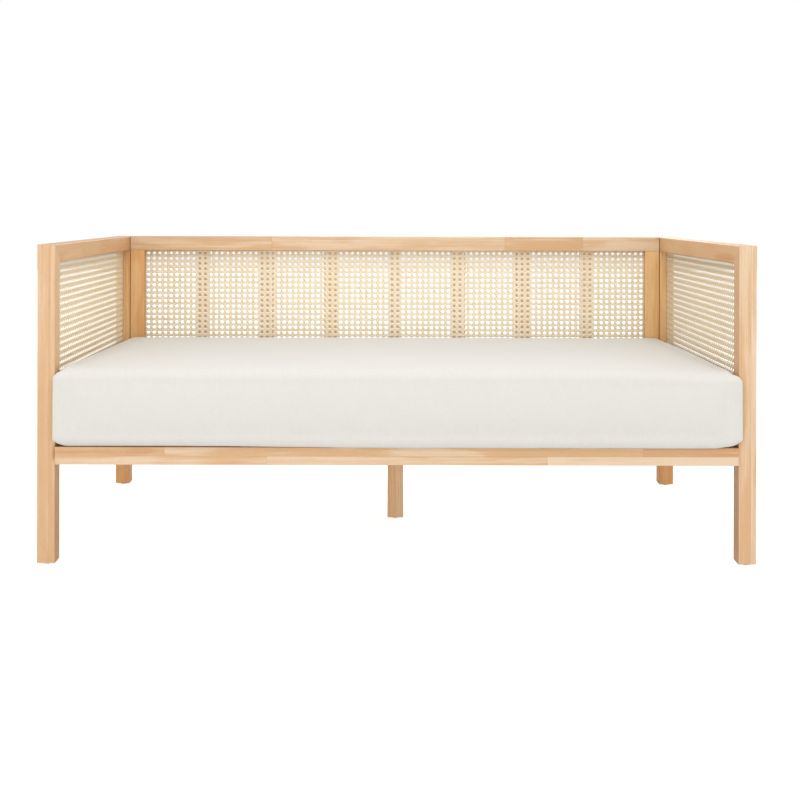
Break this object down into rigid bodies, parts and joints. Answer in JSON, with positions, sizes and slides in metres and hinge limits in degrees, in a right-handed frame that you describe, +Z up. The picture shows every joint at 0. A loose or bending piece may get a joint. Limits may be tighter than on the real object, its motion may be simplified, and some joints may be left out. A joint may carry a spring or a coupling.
{
  "type": "daybed",
  "caption": "Daybed with square wooden posts and rails, woven cane end and back panels with upright slats behind the back, a slatted base on a centre leg, and a loose mattress.",
  "frame": {"origin": "on the floor under the middle of the bed: the centre of the bottom of its bounding box", "axes": "+X along the bed towards the right-hand end seen from the open front, -Y out of the open front, +Z up"},
  "size_m": [2, 0.99, 0.89],
  "materials": {
    "frame_wood": "satin",
    "slat_wood": "matte",
    "cane": "satin",
    "steel": "satin",
    "glide_plastic": "matte",
    "foam": "matte",
    "mattress_fabric": "matte"
  },
  "bodies": {
    "frame": {"left_front_post": "frame_wood", "left_back_post": "frame_wood", "left_top_rail": "frame_wood", "left_side_rail": "frame_wood", "back_left_stile": "frame_wood", "left_cane": "cane", "left_beam_hanger": "steel", "right_front_post": "frame_wood", "right_back_post": "frame_wood", "right_top_rail": "frame_wood", "right_side_rail": "frame_wood", "back_right_stile": "frame_wood", "right_cane": "cane", "right_beam_hanger": "steel", "front_rail": "frame_wood", "back_top_rail": "frame_wood", "back_bottom_rail": "frame_wood", "back_slat_1": "frame_wood", "back_slat_2": "frame_wood", "back_slat_3": "frame_wood", "back_slat_4": "frame_wood", "back_slat_5": "frame_wood", "back_slat_6": "frame_wood", "back_slat_7": "frame_wood", "back_cane": "cane", "seat_slat_1": "slat_wood", "seat_slat_2": "slat_wood", "seat_slat_3": "slat_wood", "seat_slat_4": "slat_wood", "seat_slat_5": "slat_wood", "seat_slat_6": "slat_wood", "seat_slat_7": "slat_wood", "seat_slat_8": "slat_wood", "seat_slat_9": "slat_wood", "seat_slat_10": "slat_wood", "seat_slat_11": "slat_wood", "seat_slat_12": "slat_wood", "seat_slat_13": "slat_wood", "seat_slat_14": "slat_wood", "front_ledge": "slat_wood", "back_ledge": "slat_wood", "centre_beam": "slat_wood", "centre_leg": "frame_wood", "frame_dowels": "slat_wood", "frame_bolts": "steel", "barrel_nuts": "steel", "slat_screws": "steel", "ledge_screws": "steel", "hanger_screws": "steel", "leg_bolt": "steel", "foot_glides": "glide_plastic"},
    "mattress": {"mattress_core": "foam", "mattress_cover": "mattress_fabric"}
  },
  "joints": [
    {"name": "mattress_lift", "type": "slide", "parent": "frame", "child": "mattress", "axis": [0, 0, 1], "range_m": [0, 0.6]}
  ]
}
